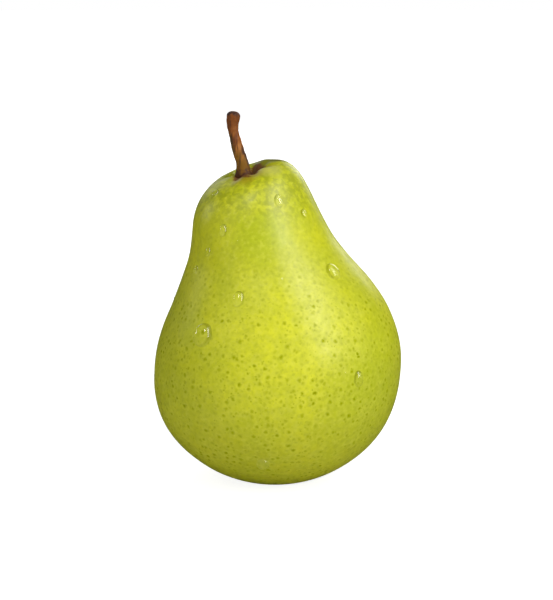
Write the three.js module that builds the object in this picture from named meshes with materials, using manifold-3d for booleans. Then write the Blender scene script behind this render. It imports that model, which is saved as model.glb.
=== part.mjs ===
// A green winter pear, standing on the flat ring round its calyx basin.
// Millimetres, +Z up. The origin is on the ground, under the middle of the fruit.
// The side with most of the water drops faces -Y, and +X is to its right.

import * as THREE from 'three';
import { mergeVertices } from 'three/addons/utils/BufferGeometryUtils.js';
import Module from 'manifold-3d';

// ---------------------------------------------------------------- driving dimensions

const SEAM = 0.3; // clear gap between neighbouring pieces
const WELD = 1e-4; // vertices closer than this are one vertex

// The outline of the round blank, from the basin up to the stem cavity. A reach is
// how far a curve holds its direction as it leaves or meets the point it is named for.
const FRUIT = {
  sides: 60,
  curveSteps: 11,
  basinDepth: 5.5,
  basinReach: 4.4,
  basinWall: new THREE.Vector2(6.6, 2.6),
  restInner: 8,
  restOuter: 12.2,
  restReach: 1.5,
  bellyRadius: 39.3,
  bellyHeight: 33.5,
  bellyReachDown: 25.5,
  bellyReachUp: 7.5,
  waistRadius: 27.2,
  waistHeight: 68.5,
  waistSlope: 0.63, // radius lost per millimetre of height
  waistReachDown: 20,
  waistReachUp: 14,
  crestRadius: 6.4,
  crestHeight: 99,
  crestReachOut: 12.4,
  crestReachIn: 2.8,
  cavityDepth: 5.6,
  cavityReach: 3.8,
};

// How the grown fruit departs from the round blank.
const GROWTH = {
  baseShift: -0.5,
  bellyDrift: 1.4,
  bellyDriftSpan: [15, 55], // heights between which the middle line drifts right
  neckLean: -9.4,
  neckLeanSpan: [54, 98],
  crownTilt: new THREE.Vector2(0.3, 0.13), // rise per millimetre to the right and back
  crownTiltSpan: [76, 100],
  cavityShift: new THREE.Vector2(-1.8, -1.6),
  cavityShiftSpan: [90, 93],
  lobes: 3,
  lobeDepth: 0.006,
  lobeTurn: 1.2,
};

// The stem's middle line, from deep in its socket to the tip.
const STEM = {
  sides: 20,
  lengthSteps: 32,
  route: [
    new THREE.Vector3(-10, -1.9, 88.5),
    new THREE.Vector3(-10.2, -2, 97.5),
    new THREE.Vector3(-10.7, -2, 101.5),
    new THREE.Vector3(-11.8, -1.9, 105.1),
    new THREE.Vector3(-13, -1.7, 109.6),
    new THREE.Vector3(-13.6, -1.4, 113.2),
    new THREE.Vector3(-13.3, -1.2, 117.4),
  ],
  // Evenly spaced from the foot to the tip, with the collar on the skin and the bud at the top.
  radii: [2.2, 2.3, 2.4, 2.5, 2.65, 2.85, 2.3, 2.05, 1.92, 1.88, 1.88, 1.76, 1.64, 1.64, 1.82, 2, 0.9],
};

const CALYX = {
  cupInner: 1.4,
  cupOuter: 2.6,
  cupTop: 4.9,
  cupRim: 3.1,
  cupSides: 24,
  cupCurveSteps: 6,
  sepals: 5,
  sepalLength: 4,
  sepalWidth: 3.2,
  sepalThickness: 0.5,
  sepalTip: 0.15, // width of the tip over the width of the root
  sepalNarrowing: 1.6, // above 1, a sepal keeps its width near the root
  sepalShortening: 0.15, // share of its length that the arch takes
  sepalRoot: 3.1, // distance of a sepal's root from the middle
  sepalRootHeight: 3.7,
  sepalDroop: 2.4,
  sepalArch: 1.4, // above 1, the root stays level and the tip turns down
  sepalCurl: 0.7,
  sepalSteps: [8, 4, 1],
};

// Water drops: how far across and how high on the front or the back, then the
// drop's width and its length down the slope.
const DROPS = [
  { side: 'front', across: -22.2, height: 52.3, width: 6.8, length: 7.6 },
  { side: 'front', across: -11.4, height: 63.5, width: 3.7, length: 5.2 },
  { side: 'front', across: 0.7, height: 91.3, width: 3, length: 4.6 },
  { side: 'front', across: -16.2, height: 82.6, width: 2.4, length: 4 },
  { side: 'front', across: -21, height: 75.7, width: 2.2, length: 3 },
  { side: 'front', across: -24.8, height: 69.8, width: 1.8, length: 2.6 },
  { side: 'front', across: -18.7, height: 92.8, width: 2.4, length: 2.8 },
  { side: 'front', across: 8.4, height: 87, width: 2.2, length: 3 },
  { side: 'front', across: 17.1, height: 70, width: 4.6, length: 5.8 },
  { side: 'front', across: 24.7, height: 39.5, width: 3.4, length: 5.2 },
  { side: 'front', across: -4, height: 13.3, width: 4.2, length: 4.2 },
  { side: 'back', across: 12, height: 58, width: 5.4, length: 6.8 },
  { side: 'back', across: -9, height: 82, width: 3.4, length: 4.8 },
  { side: 'back', across: -21, height: 47, width: 4.2, length: 5.4 },
  { side: 'back', across: 1, height: 50, width: 3.6, length: 4.8 },
  { side: 'back', across: 25, height: 30, width: 4.8, length: 5.6 },
  { side: 'back', across: -2, height: 70, width: 2.4, length: 3.2 },
  { side: 'back', across: 4, height: 90, width: 2.2, length: 2.8 },
  { side: 'back', across: -29, height: 25, width: 3, length: 3.8 },
  { side: 'back', across: 9, height: 19, width: 3.2, length: 3.6 },
];
const DROP_SIDES = 14;
const DROP_RINGS = 5;
const DROP_RISE = 0.36; // height of a drop over its width

const PAINT = {
  skin: new THREE.MeshStandardMaterial({ color: 0xb9c43a, roughness: 0.42, metalness: 0 }),
  bark: new THREE.MeshStandardMaterial({ color: 0x7d4a1c, roughness: 0.75, metalness: 0 }),
  driedLeaf: new THREE.MeshStandardMaterial({ color: 0x4a3420, roughness: 0.9, metalness: 0 }),
  water: new THREE.MeshStandardMaterial({ color: 0xe8f2c8, roughness: 0.05, metalness: 0 }),
};

// ---------------------------------------------------------------- helpers

const wasm = await Module();
wasm.setup();
const { smoothstep } = THREE.MathUtils;

// Weld a geometry's shared vertices and drop the triangles that collapse at its poles.
function closed(geometry) {
  geometry.deleteAttribute('normal');
  geometry.deleteAttribute('uv');
  const welded = mergeVertices(geometry, WELD);
  const corners = welded.index.array;
  const kept = [];
  for (let i = 0; i < corners.length; i += 3) {
    const [a, b, c] = corners.slice(i, i + 3);
    if (a !== b && b !== c && c !== a) kept.push(a, b, c);
  }
  welded.setIndex(kept);
  return welded;
}

// Move every vertex of a geometry to where the function sends it.
function reshape(geometry, place) {
  const position = geometry.attributes.position;
  const point = new THREE.Vector3();
  for (let i = 0; i < position.count; i += 1) {
    point.fromBufferAttribute(position, i);
    place(point);
    position.setXYZ(i, point.x, point.y, point.z);
  }
  return geometry;
}

// Turn an outline of (radius, height) points about the Z axis.
function turned(outline, sides) {
  return closed(new THREE.LatheGeometry(outline, sides)).rotateX(Math.PI / 2);
}

function toSolid(geometry) {
  return new wasm.Manifold(new wasm.Mesh({
    numProp: 3,
    vertProperties: geometry.attributes.position.array,
    triVerts: new Uint32Array(geometry.index.array),
  }));
}

function toGeometry(solid) {
  const { vertProperties, triVerts } = solid.getMesh();
  const geometry = new THREE.BufferGeometry();
  geometry.setAttribute('position', new THREE.BufferAttribute(vertProperties, 3));
  geometry.setIndex(new THREE.BufferAttribute(triVerts, 1));
  return geometry;
}

function namedMesh(name, geometry, material) {
  geometry.computeVertexNormals();
  const mesh = new THREE.Mesh(geometry, material);
  mesh.name = name;
  return mesh;
}

// ---------------------------------------------------------------- fruit

// The outline of the round blank as (radius, height), starting in the basin.
function blankOutline() {
  const f = FRUIT;
  const cavityFloor = f.crestHeight - f.cavityDepth;
  const path = new THREE.Path();
  path.moveTo(0, f.basinDepth);
  path.bezierCurveTo(f.basinReach, f.basinDepth, f.basinWall.x, f.basinWall.y, f.restInner, 0);
  path.lineTo(f.restOuter, 0);
  path.bezierCurveTo(
    f.restOuter + f.restReach, 0,
    f.bellyRadius, f.bellyHeight - f.bellyReachDown,
    f.bellyRadius, f.bellyHeight,
  );
  path.bezierCurveTo(
    f.bellyRadius, f.bellyHeight + f.bellyReachUp,
    f.waistRadius + f.waistReachDown * f.waistSlope, f.waistHeight - f.waistReachDown,
    f.waistRadius, f.waistHeight,
  );
  path.bezierCurveTo(
    f.waistRadius - f.waistReachUp * f.waistSlope, f.waistHeight + f.waistReachUp,
    f.crestRadius + f.crestReachOut, f.crestHeight,
    f.crestRadius, f.crestHeight,
  );
  path.bezierCurveTo(
    f.crestRadius - f.crestReachIn, f.crestHeight,
    f.cavityReach, cavityFloor,
    0, cavityFloor,
  );
  return path.getPoints(f.curveSteps);
}

// Carry a point of the round blank to its place on the grown fruit.
function grow(point) {
  const g = GROWTH;
  const height = point.z;
  const radius = Math.hypot(point.x, point.y);
  const bearing = Math.atan2(point.y, point.x);
  const girth = Math.sin(Math.PI * Math.min(height / FRUIT.crestHeight, 1));
  const swell = 1 + g.lobeDepth * girth * Math.cos(g.lobes * bearing + g.lobeTurn);
  const inCavity = smoothstep(height, ...g.cavityShiftSpan)
    * (1 - smoothstep(radius, 0, FRUIT.crestRadius));
  point.x = point.x * swell + g.cavityShift.x * inCavity;
  point.y = point.y * swell + g.cavityShift.y * inCavity;
  const tilt = point.x * g.crownTilt.x + point.y * g.crownTilt.y;
  point.z += tilt * smoothstep(height, ...g.crownTiltSpan);
  point.x += g.baseShift
    + g.bellyDrift * smoothstep(height, ...g.bellyDriftSpan)
    + g.neckLean * smoothstep(height, ...g.neckLeanSpan);
}

// Skin and flesh, with the stem's socket cut down into the cavity.
function makeFruit() {
  const blank = turned(blankOutline(), FRUIT.sides);
  const body = toSolid(reshape(blank, grow));
  return toGeometry(body.subtract(toSolid(stemGeometry(SEAM))));
}

// ---------------------------------------------------------------- stem

// The bent stem, or with some clearance the socket that holds it.
function stemGeometry(clearance) {
  const steps = STEM.lengthSteps;
  const spaced = STEM.radii.map((radius, i) => new THREE.Vector2(radius, i));
  const thickness = new THREE.SplineCurve(spaced);
  const outline = [new THREE.Vector2(0, 0)];
  for (let i = 0; i <= steps; i += 1) {
    outline.push(new THREE.Vector2(thickness.getPoint(i / steps).x + clearance, i));
  }
  outline.push(new THREE.Vector2(0, steps));
  const route = new THREE.CatmullRomCurve3(STEM.route);
  const frames = route.computeFrenetFrames(steps);
  return reshape(turned(outline, STEM.sides), (point) => {
    const step = Math.round(point.z);
    const { x: across, y: along } = point;
    route.getPointAt(step / steps, point);
    point.addScaledVector(frames.normals[step], across);
    point.addScaledVector(frames.binormals[step], along);
    if (step === 0) point.addScaledVector(frames.tangents[0], -clearance);
  });
}

// ---------------------------------------------------------------- calyx

// The dried ring in the middle of the basin, its round rim facing down.
function makeCalyxCup() {
  const c = CALYX;
  const middle = (c.cupInner + c.cupOuter) / 2;
  const outline = new THREE.Path();
  outline.moveTo(middle, c.cupRim);
  outline.quadraticCurveTo(c.cupOuter, c.cupRim, c.cupOuter, c.cupTop);
  outline.lineTo(c.cupInner, c.cupTop);
  outline.quadraticCurveTo(c.cupInner, c.cupRim, middle, c.cupRim);
  const ring = turned(outline.getPoints(c.cupCurveSteps), c.cupSides);
  return ring.translate(GROWTH.baseShift, 0, 0);
}

// One dried sepal: a pointed leaf that arches out from the cup and droops at its tip.
function makeSepal(bearing) {
  const c = CALYX;
  const blank = new THREE.BoxGeometry(1, 1, c.sepalThickness, ...c.sepalSteps);
  const sepal = reshape(closed(blank), (point) => {
    const along = point.x + 0.5;
    const side = point.y * (1 - (1 - c.sepalTip) * along ** c.sepalNarrowing);
    const droop = c.sepalDroop * along ** c.sepalArch + c.sepalCurl * (2 * side) ** 2;
    point.x = c.sepalRoot + c.sepalLength * along * (1 - c.sepalShortening * along);
    point.y = side * c.sepalWidth;
    point.z += c.sepalRootHeight - droop;
  });
  return sepal.rotateZ(bearing).translate(GROWTH.baseShift, 0, 0);
}

// ---------------------------------------------------------------- water drops

// Where a drop meets the skin, and the way the skin faces there.
function skinUnder(drop, fruit) {
  const facing = drop.side === 'front' ? 1 : -1;
  const start = new THREE.Vector3(drop.across, -100 * facing, drop.height);
  const inward = new THREE.Vector3(0, facing, 0);
  const [hit] = new THREE.Raycaster(start, inward).intersectObject(fruit);
  return { foot: hit.point, outward: hit.face.normal.clone() };
}

// A domed drop that stands just off the skin, its length down the slope.
function makeDrop(drop, fruit) {
  const outline = [new THREE.Vector2(0, 0)];
  for (let i = 0; i <= DROP_RINGS; i += 1) {
    const rise = (Math.PI / 2) * (i / DROP_RINGS);
    outline.push(new THREE.Vector2(Math.cos(rise) / 2, Math.sin(rise) * DROP_RISE));
  }
  outline[outline.length - 1].x = 0;
  const { foot, outward } = skinUnder(drop, fruit);
  const level = new THREE.Vector3(0, 0, 1).cross(outward).normalize();
  const uphill = outward.clone().cross(level);
  const dome = turned(outline, DROP_SIDES).scale(drop.width, drop.length, drop.width);
  const stand = new THREE.Matrix4().makeBasis(level, uphill, outward);
  return dome.applyMatrix4(stand.setPosition(foot.addScaledVector(outward, SEAM)));
}

// ---------------------------------------------------------------- the pear

const pear = new THREE.Group();
const fruit = namedMesh('fruit', makeFruit(), PAINT.skin);
pear.add(fruit);
pear.add(namedMesh('stem', stemGeometry(0), PAINT.bark));
pear.add(namedMesh('calyx_cup', makeCalyxCup(), PAINT.driedLeaf));

for (let i = 0; i < CALYX.sepals; i += 1) {
  const bearing = (2 * Math.PI * i) / CALYX.sepals;
  pear.add(namedMesh(`sepal_${i + 1}`, makeSepal(bearing), PAINT.driedLeaf));
}

DROPS.forEach((drop, i) => {
  const name = `water_drop_${String(i + 1).padStart(2, '0')}`;
  pear.add(namedMesh(name, makeDrop(drop, fruit), PAINT.water));
});

export default pear;
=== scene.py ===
"""A green pear with its stem, its calyx and its beads of water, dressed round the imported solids."""

import logging
import math
from dataclasses import dataclass
from enum import Enum
from functools import cache, reduce

import bpy
import numpy as np
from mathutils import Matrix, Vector, noise
from mathutils.bvhtree import BVHTree


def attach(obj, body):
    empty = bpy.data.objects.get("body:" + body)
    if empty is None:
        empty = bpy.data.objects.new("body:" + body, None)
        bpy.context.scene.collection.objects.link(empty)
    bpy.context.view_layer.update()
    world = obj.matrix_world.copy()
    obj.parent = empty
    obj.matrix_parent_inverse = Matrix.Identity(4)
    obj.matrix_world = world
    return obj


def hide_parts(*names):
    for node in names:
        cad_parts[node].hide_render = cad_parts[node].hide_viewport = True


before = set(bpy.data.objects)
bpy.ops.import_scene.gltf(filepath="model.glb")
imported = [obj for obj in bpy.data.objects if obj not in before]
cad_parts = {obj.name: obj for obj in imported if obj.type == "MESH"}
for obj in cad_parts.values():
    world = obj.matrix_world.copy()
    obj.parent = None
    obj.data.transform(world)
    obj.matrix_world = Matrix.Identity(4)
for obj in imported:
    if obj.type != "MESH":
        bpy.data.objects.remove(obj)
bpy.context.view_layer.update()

log = logging.getLogger("pear")

MM = 0.001  # metres in a millimetre: forms are worked out in millimetres
BODY = "root"
RIM_SHADE = "rim"  # the mesh attribute that marks where painted shade darkens the foot of a bead, most of all uphill

Colour = tuple[float, float, float, float]
Material = bpy.types.Material
Node = bpy.types.Node
Piece = bpy.types.Object
Point = tuple[float, float, float]
Ramp = tuple[float, ...]  # where a change starts and ends, then the result at each (0 and 1 if left out)
Socket = bpy.types.NodeSocket
Tree = bpy.types.NodeTree


class Slot(Enum):
    """The record's material slots."""

    SKIN = "skin"
    BARK = "bark"
    CALYX = "dried_calyx"
    WATER = "water"


# ---- numbers and curves


def grey(value: float) -> Colour:
    """An even grey."""
    return (value, value, value, 1)


def ease(value: np.ndarray | float, low: float, high: float) -> np.ndarray | float:
    """Rise smoothly from 0 to 1 as a value goes from low to high.

    Args:
        value: One number or an array of them.
        low: Where the rise starts.
        high: Where it ends. It may be below low, and then the step falls.

    Returns:
        The eased share, of the same shape as value.
    """
    share = np.clip((value - low) / (high - low), 0.0, 1.0)
    return share * share * (3.0 - 2.0 * share)


def cubic(start: tuple, leave: tuple, arrive: tuple, end: tuple, steps: int) -> np.ndarray:
    """Sample one cubic curve.

    Args:
        start: The first point.
        leave: The handle that the curve leaves towards.
        arrive: The handle that it arrives from.
        end: The last point, which is left out.
        steps: How many points to give.

    Returns:
        An array of points, one a row.
    """
    t = (np.arange(steps) / steps)[:, None]
    s = 1.0 - t
    corners = [np.array(p, float) for p in (start, leave, arrive, end)]
    weights = (s**3, 3 * s * s * t, 3 * s * t * t, t**3)
    return sum(w * c for w, c in zip(weights, corners))


def between(knots: np.ndarray, places: np.ndarray) -> np.ndarray:
    """Read a smooth curve that passes through rows of numbers.

    Args:
        knots: The rows.
        places: Where to read, counted in rows, so that 1.5 is half way from row 1 to row 2.

    Returns:
        One row for each place.
    """
    padded = np.vstack([2 * knots[0] - knots[1], knots, 2 * knots[-1] - knots[-2]])
    first = np.minimum(places.astype(int), len(knots) - 2)
    t = (places - first)[:, None]
    a, b, c, d = (padded[first + i] for i in range(4))
    bend = (2 * a - 5 * b + 4 * c - d) * t**2 + (3 * b - a - 3 * c + d) * t**3
    return 0.5 * (2 * b + (c - a) * t + bend)


def through(points: tuple, steps: int) -> np.ndarray:
    """Run a smooth curve through points, its samples spaced by the distance between them.

    Args:
        points: The points.
        steps: How many stretches to cut the curve into.

    Returns:
        An array of steps + 1 points.
    """
    knots = np.array(points, float)
    lengths = travelled(knots)
    reaches = np.linspace(0, lengths[-1], steps + 1)
    return between(knots, np.interp(reaches, lengths, np.arange(len(knots))))


def evenly(values: tuple, steps: int) -> np.ndarray:
    """Run a smooth curve through evenly spaced values.

    Args:
        values: The values.
        steps: How many stretches to cut the curve into.

    Returns:
        An array of steps + 1 values.
    """
    knots = np.array(values, float)[:, None]
    return between(knots, np.linspace(0, len(values) - 1, steps + 1))[:, 0]


def travelled(points: np.ndarray) -> np.ndarray:
    """The distance along a line of points, from its start to each of them."""
    return np.concatenate([[0], np.cumsum(np.linalg.norm(np.diff(points, axis=0), axis=1))])


def turns(count: int) -> np.ndarray:
    """Evenly spaced angles round a circle."""
    return 2 * np.pi * np.arange(count) / count


def ripple(points: np.ndarray, size: float, seed: float) -> np.ndarray:
    """Smooth noise between -1 and 1 at each point.

    Args:
        points: One point a row, in millimetres.
        size: The width of a wave, in millimetres.
        seed: Moves the pattern, so that two of them differ.

    Returns:
        One value for each point.
    """
    shift = Vector((seed, 2.3 * seed, -1.7 * seed))
    return np.array([noise.noise(Vector(p) / size + shift) for p in points])


# ---- meshes


def new_piece(name: str, points: np.ndarray, faces: list, smooth: bool = True) -> Piece:
    """Make a mesh object at the origin and put it in the scene.

    Args:
        name: The piece's name.
        points: Its vertices in millimetres.
        faces: The vertex numbers round each face.
        smooth: Shade across the faces' edges.

    Returns:
        The new object.
    """
    mesh = bpy.data.meshes.new(name)
    mesh.from_pydata((points * MM).tolist(), [], faces)
    mesh.validate()
    mesh.polygons.foreach_set("use_smooth", [smooth] * len(mesh.polygons))
    piece = bpy.data.objects.new(name, mesh)
    bpy.context.scene.collection.objects.link(piece)
    return piece


def wrapped_faces(rows: int, sides: int) -> list[tuple[int, ...]]:
    """Faces of a closed skin: a pole, rings of points, and a pole.

    Args:
        rows: How many rings there are.
        sides: How many points a ring has.

    Returns:
        The faces, pointing out where the rings run anticlockwise from the first pole's side.
    """
    top = 1 + (rows - 1) * sides
    last = top + sides
    faces = []
    for k in range(sides):
        after = (k + 1) % sides
        faces.append((0, 1 + after, 1 + k))
        faces.append((top + k, top + after, last))
        for low in range(1, top, sides):
            high = low + sides
            faces.append((low + k, low + after, high + after, high + k))
    return faces


def read_vectors(rows: bpy.types.bpy_prop_collection, name: str) -> np.ndarray:
    """Read one vector from each element of a mesh.

    Args:
        rows: The elements, such as a mesh's vertices.
        name: What to read.

    Returns:
        One vector a row.
    """
    flat = np.zeros(len(rows) * 3, np.float32)
    rows.foreach_get(name, flat)
    return flat.reshape(-1, 3)


def push_out(piece: Piece, distance: np.ndarray) -> None:
    """Move each vertex along its normal.

    Args:
        piece: The object whose mesh changes.
        distance: How far each vertex goes, in millimetres.
    """
    mesh = piece.data
    normals = read_vectors(mesh.vertex_normals, "vector")
    moved = read_vectors(mesh.vertices, "co") / MM + normals * distance[:, None]
    mesh.vertices.foreach_set("co", (moved * MM).ravel())
    mesh.update()


def hand_over(piece: Piece, nodes: list[str], finish: Material) -> None:
    """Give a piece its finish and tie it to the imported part.

    Args:
        piece: The finished piece.
        nodes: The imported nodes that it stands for.
        finish: The material.
    """
    if not piece.data.materials:
        piece.data.materials.append(finish)
    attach(piece, BODY)
    if nodes:
        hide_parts(*nodes)
    log.info("%s: %d faces, stands for %s", piece.name, len(piece.data.polygons), nodes or "nothing")


# ---- node graphs


class Kind(Enum):
    """What a socket of a group or a geometry tree carries."""

    NUMBER = "NodeSocketFloat"
    WHOLE = "NodeSocketInt"
    VECTOR = "NodeSocketVector"
    OBJECT = "NodeSocketObject"
    COLLECTION = "NodeSocketCollection"
    MATERIAL = "NodeSocketMaterial"
    GEOMETRY = "NodeSocketGeometry"


def open_sockets(tree: Tree, side: str, names: dict[Kind, str]) -> None:
    """Give a group or a geometry tree its named sockets.

    Args:
        tree: The group or tree.
        side: INPUT or OUTPUT.
        names: Each kind of socket, with the names of all that are of that kind.
    """
    for kind, row in names.items():
        for name in row.split():
            tree.interface.new_socket(name, in_out=side, socket_type=kind.value)


class Graph:
    """The nodes of one material or group, added and linked one call at a time."""

    def __init__(self, tree: Tree) -> None:
        """Start from an empty tree."""
        self.tree = tree
        tree.nodes.clear()

    def add(self, kind: str, inputs: dict | None = None, **settings: object) -> Node:
        """Add a node.

        Args:
            kind: The name of the node's type.
            inputs: Socket names or numbers to values or to the sockets that feed them.
            settings: The node's own properties.

        Returns:
            The new node.
        """
        node = self.tree.nodes.new(kind)
        for name, value in settings.items():
            setattr(node, name, value)
        for name, value in (inputs or {}).items():
            self.feed(node.inputs[name], value)
        return node

    def made(self, kind: str, inputs: dict | None = None, **settings: object) -> Socket:
        """The first output of a new node."""
        return self.add(kind, inputs, **settings).outputs[0]

    def feed(self, socket: Socket, value: object) -> None:
        """Link a socket to another one, or set its value.

        Args:
            socket: The socket to fill.
            value: Another socket, or a plain value.
        """
        if isinstance(value, Socket):
            self.tree.links.new(value, socket)
        else:
            socket.default_value = value

    def maths(self, operation: str, *values: object) -> Socket:
        """The result of one sum on numbers or sockets."""
        return self.made("ShaderNodeMath", dict(enumerate(values)), operation=operation)

    def vector(self, operation: str, *values: object) -> Socket:
        """The vector that one sum on vectors gives."""
        return self.made("ShaderNodeVectorMath", dict(enumerate(values)), operation=operation)

    def times(self, *values: object) -> Socket:
        """The product of numbers and sockets."""
        return reduce(lambda product, value: self.maths("MULTIPLY", product, value), values)

    def times_plus(self, value: object, share: object, base: object) -> Socket:
        """A value times a share, plus a base."""
        return self.maths("MULTIPLY_ADD", value, share, base)

    def length(self, vector: Socket) -> Socket:
        """The length of a vector."""
        return self.add("ShaderNodeVectorMath", {0: vector}, operation="LENGTH").outputs["Value"]

    def joined(self, x: object = 0.0, y: object = 0.0, z: object = 0.0) -> Socket:
        """A vector from its X, Y and Z."""
        return self.made("ShaderNodeCombineXYZ", {0: x, 1: y, 2: z})

    def noise(self, place: object, scale: object, detail: float = 2.0, wander: float = 0.0) -> Socket:
        """Cloudy noise from 0 to 1.

        Args:
            place: The socket of coordinates.
            scale: Waves per unit of them.
            detail: How many finer layers are added.
            wander: How far the pattern is bent.

        Returns:
            The noise's value.
        """
        inputs = {"Vector": place, "Scale": scale, "Detail": detail, "Distortion": wander}
        return self.add("ShaderNodeTexNoise", inputs).outputs["Fac"]

    def step(self, value: object, low: float, high: float, bottom: float = 0.0, top: float = 1.0) -> Socket:
        """Carry a value smoothly from one range to another.

        Args:
            value: The socket to read.
            low: Where the change starts.
            high: Where it ends.
            bottom: The result below low.
            top: The result above high.

        Returns:
            The eased value.
        """
        inputs = {"Value": value, "From Min": low, "From Max": high, "To Min": bottom, "To Max": top}
        return self.add("ShaderNodeMapRange", inputs, interpolation_type="SMOOTHSTEP").outputs["Result"]

    def mix(self, share: object, first: object, second: object) -> Socket:
        """Blend two colours.

        Args:
            share: How much of the second one shows.
            first: A colour or its socket.
            second: The other one.

        Returns:
            The blended colour.
        """
        return self.add("ShaderNodeMix", {0: share, 6: first, 7: second}, data_type="RGBA").outputs[2]

    def layered(self, colour: object, layers: tuple) -> Socket:
        """Lay colours over one another.

        Args:
            colour: The lowest one.
            layers: A mask and a colour for each that lies over it, in turn.

        Returns:
            The colour that shows.
        """
        for mask, tone in layers:
            colour = self.mix(mask, colour, tone)
        return colour

    def band(self, value: Socket, rise: Ramp, fall: Ramp) -> Socket:
        """A mask that rises over one stretch of a value and falls over another."""
        return self.times(self.step(value, *rise), self.step(value, *fall))

    def split(self, place: Socket) -> list[Socket]:
        """The X, Y and Z of a vector."""
        return list(self.add("ShaderNodeSeparateXYZ", {0: place}).outputs)

    def scaled(self, vector: object, share: object) -> Socket:
        """A vector times a number."""
        return self.made("ShaderNodeVectorMath", {0: vector, "Scale": share}, operation="SCALE")

    def chance(self, low: object, high: object, seed: object, draw: int) -> Socket:
        """Draw a random number for each point.

        Args:
            low: The lowest that it can be.
            high: The highest.
            seed: The tree's seed.
            draw: The number of this draw, so that no two give the same.

        Returns:
            The drawn number.
        """
        number = self.maths("ADD", seed, float(draw))
        node = self.add("FunctionNodeRandomValue", {"Seed": number}, data_type="FLOAT")
        self.feed(node.inputs[2], low)
        self.feed(node.inputs[3], high)
        return node.outputs[1]

    def group(self, tree: Tree, inputs: dict) -> Node:
        """Place a shared group with values of its own."""
        return self.add("ShaderNodeGroup", inputs, node_tree=tree)


def shared_group(name: str, inputs: dict[Kind, str], outputs: dict[Kind, str]) -> tuple[Graph, Node, Node]:
    """Start a shader node group with named sockets.

    Args:
        name: The group's name.
        inputs: What it takes, as open_sockets reads it.
        outputs: What it puts out.

    Returns:
        The group's graph, its input node and its output node.
    """
    tree = bpy.data.node_groups.new(name, "ShaderNodeTree")
    open_sockets(tree, "INPUT", inputs)
    open_sockets(tree, "OUTPUT", outputs)
    graph = Graph(tree)
    return graph, graph.add("NodeGroupInput"), graph.add("NodeGroupOutput")


@cache
def blotches() -> Tree:
    """Make soft uneven patches, once for skin, bark and dried leaf alike.

    Returns:
        A group whose Mask is 0 to 1, with patches about Size wide and edges as hard as Contrast.
    """
    takes = {Kind.VECTOR: "Vector", Kind.NUMBER: "Size Contrast"}
    graph, given, out = shared_group("blotches", takes, {Kind.NUMBER: "Mask"})
    waves = graph.maths("DIVIDE", 1.0, given.outputs["Size"])
    cloud = graph.noise(given.outputs["Vector"], waves, detail=4.0, wander=0.4)
    off_middle = graph.maths("SUBTRACT", cloud, 0.5)
    stretched = graph.times_plus(off_middle, given.outputs["Contrast"], 0.5)
    graph.feed(out.inputs["Mask"], graph.step(stretched, 0.0, 1.0))
    return graph.tree


@cache
def fibres() -> Tree:
    """Make fine streaks that run along Z, once for bark and dried leaf alike.

    Returns:
        A group whose Mask and Height follow streaks about Size wide and Stretch times as long.
    """
    takes = {Kind.VECTOR: "Vector", Kind.NUMBER: "Size Stretch"}
    graph, given, out = shared_group("fibres", takes, {Kind.NUMBER: "Mask Height"})
    x, y, z = graph.split(given.outputs["Vector"])
    shorter = graph.maths("DIVIDE", z, given.outputs["Stretch"])
    squeezed = graph.joined(x, y, shorter)
    waves = graph.maths("DIVIDE", 1.0, given.outputs["Size"])
    streak = graph.noise(squeezed, waves, detail=3.0, wander=0.6)
    graph.feed(out.inputs["Mask"], graph.step(streak, 0.38, 0.62))
    graph.feed(out.inputs["Height"], streak)
    return graph.tree


class Paint(Graph):
    """The nodes of one material, which ends in a Principled shader."""

    def __init__(self, name: str, plain: dict) -> None:
        """Start the material.

        Args:
            name: Its name.
            plain: The shader's inputs that are the same all over the piece.
        """
        self.material = bpy.data.materials.new(name)
        self.material.use_nodes = True
        super().__init__(self.material.node_tree)
        self.shader = self.add("ShaderNodeBsdfPrincipled", plain)
        self.add("ShaderNodeOutputMaterial", {"Surface": self.shader.outputs[0]})
        metres = self.add("ShaderNodeTexCoord").outputs["Object"]
        self.place = self.made("ShaderNodeMapping", {"Vector": metres, "Scale": (1 / MM,) * 3})
        self.height = self.split(self.place)[2]

    def give(self, name: str, value: Socket) -> None:
        """Feed one of the shader's inputs."""
        self.feed(self.shader.inputs[name], value)

    def bump(self, strength: float, distance: float, height: Socket) -> None:
        """Give the surface fine relief, with its distance in millimetres."""
        given = {"Strength": strength, "Distance": distance * MM, "Height": height}
        self.give("Normal", self.made("ShaderNodeBump", given))

    def apart(self, point: Point) -> Socket:
        """The vector to each place from a point in millimetres."""
        return self.vector("SUBTRACT", self.place, point)

    def distance(self, point: Point) -> Socket:
        """How far each place is from a point in millimetres."""
        return self.length(self.apart(point))

    def cloud(self, waves: float, detail: float = 2.0) -> Socket:
        """Cloudy noise from 0 to 1, with so many waves to a millimetre."""
        return self.noise(self.place, waves, detail=detail)

    def patches(self, size: float, contrast: float) -> Socket:
        """The mask of the shared blotches, about size millimetres wide."""
        node = self.group(blotches(), {"Vector": self.place, "Size": size, "Contrast": contrast})
        return node.outputs["Mask"]

    def streaks(self, size: float, stretch: float) -> tuple[Socket, Socket]:
        """The mask and the height of the shared fibres, about size millimetres wide."""
        node = self.group(fibres(), {"Vector": self.place, "Size": size, "Stretch": stretch})
        return node.outputs["Mask"], node.outputs["Height"]


# ---- fruit


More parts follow.
